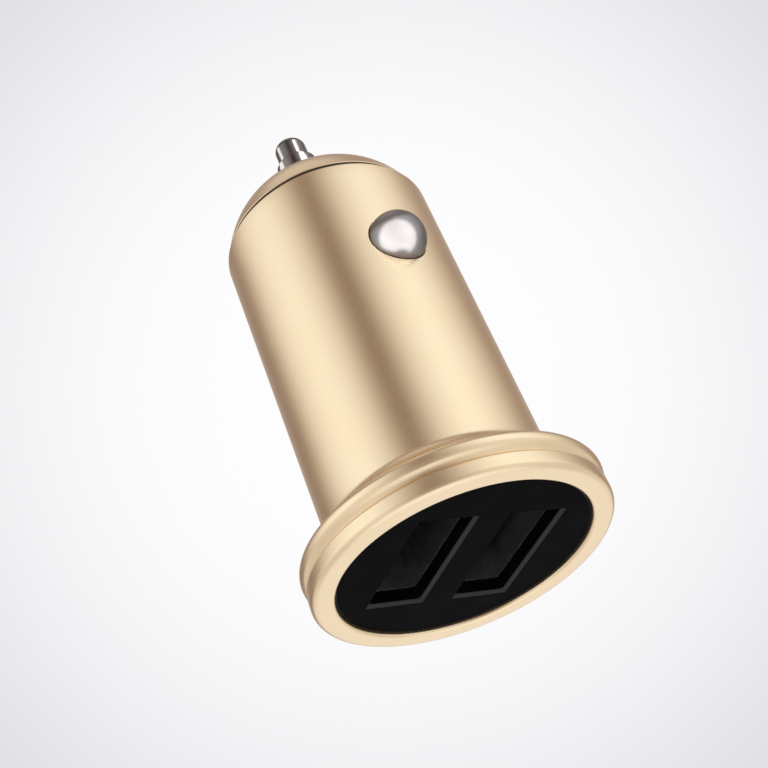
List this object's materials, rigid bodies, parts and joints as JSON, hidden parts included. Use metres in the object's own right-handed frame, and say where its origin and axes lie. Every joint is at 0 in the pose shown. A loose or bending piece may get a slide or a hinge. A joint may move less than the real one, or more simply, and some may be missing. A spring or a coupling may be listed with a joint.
{
  "type": "car usb charger plug",
  "caption": "Turned metal plug for a 12 V car socket, with USB ports in its black front, a sprung tip and sprung side contacts.",
  "frame": {"origin": "centre of the flange's flat front face, on which the plug stands", "axes": "+Z along the barrel from the ports to the tip, +X out through a side contact and along the long side of the ports, +Y through both ports"},
  "size_m": [0.0276, 0.0276, 0.0531],
  "materials": {
    "gold_aluminium": "satin anodised, pale gold",
    "black_plastic": "smooth satin",
    "nickel_plate": "polished",
    "spring_steel": "drawn wire",
    "brass_strip": "stamped",
    "ivory_plastic": "moulded",
    "port_steel": "nickel plated sheet",
    "port_plastic": "moulded",
    "gilt_blade": "gold plated",
    "green_laminate": "solder mask",
    "film": "thin amber film",
    "ferrite": "sintered",
    "copper_wire": "enamelled copper",
    "can_aluminium": "drawn can",
    "chip_resin": "moulded resin",
    "tin_lead": "tinned",
    "white_ceramic": "fired"
  },
  "bodies": {
    "housing": {"barrel_housing": "gold_aluminium", "nose_cap": "gold_aluminium", "front_plate": "black_plastic", "tip_bush": "black_plastic", "tip_spring": "spring_steel", "positive_terminal": "brass_strip", "contact_carrier": "ivory_plastic", "side_spring_right": "spring_steel", "side_spring_left": "spring_steel", "ground_strap_right": "brass_strip", "ground_strap_left": "brass_strip", "port_shell_1": "port_steel", "port_shell_2": "port_steel", "port_tongue_1": "port_plastic", "port_tongue_2": "port_plastic", "port_blades_1": "gilt_blade", "port_blades_2": "gilt_blade", "main_board": "green_laminate", "insulating_film": "film", "inductor_core": "ferrite", "inductor_winding": "copper_wire", "input_capacitor": "can_aluminium", "output_capacitor": "can_aluminium", "regulator_chip": "chip_resin", "regulator_leads": "tin_lead", "rectifier_diode": "chip_resin", "input_fuse": "white_ceramic", "chip_resistors": "chip_resin"},
    "tip": {"tip_pin": "nickel_plate"},
    "contact_right": {"side_contact_right": "nickel_plate"},
    "contact_left": {"side_contact_left": "nickel_plate"}
  },
  "joints": [
    {"name": "tip_slide", "type": "slide", "parent": "housing", "child": "tip", "axis": [0, 0, 1], "range_m": [-0.0025, 0], "stiffness_N_per_m": 800, "springref_m": 0.002, "deforming": ["tip_spring"]},
    {"name": "contact_right_slide", "type": "slide", "parent": "housing", "child": "contact_right", "axis": [1, 0, 0], "range_m": [-0.0024, 0], "stiffness_N_per_m": 600, "springref_m": 0.0015, "deforming": ["side_spring_right"]},
    {"name": "contact_left_slide", "type": "slide", "parent": "housing", "child": "contact_left", "axis": [-1, 0, 0], "range_m": [-0.0024, 0], "stiffness_N_per_m": 600, "springref_m": 0.0015, "deforming": ["side_spring_left"]}
  ]
}
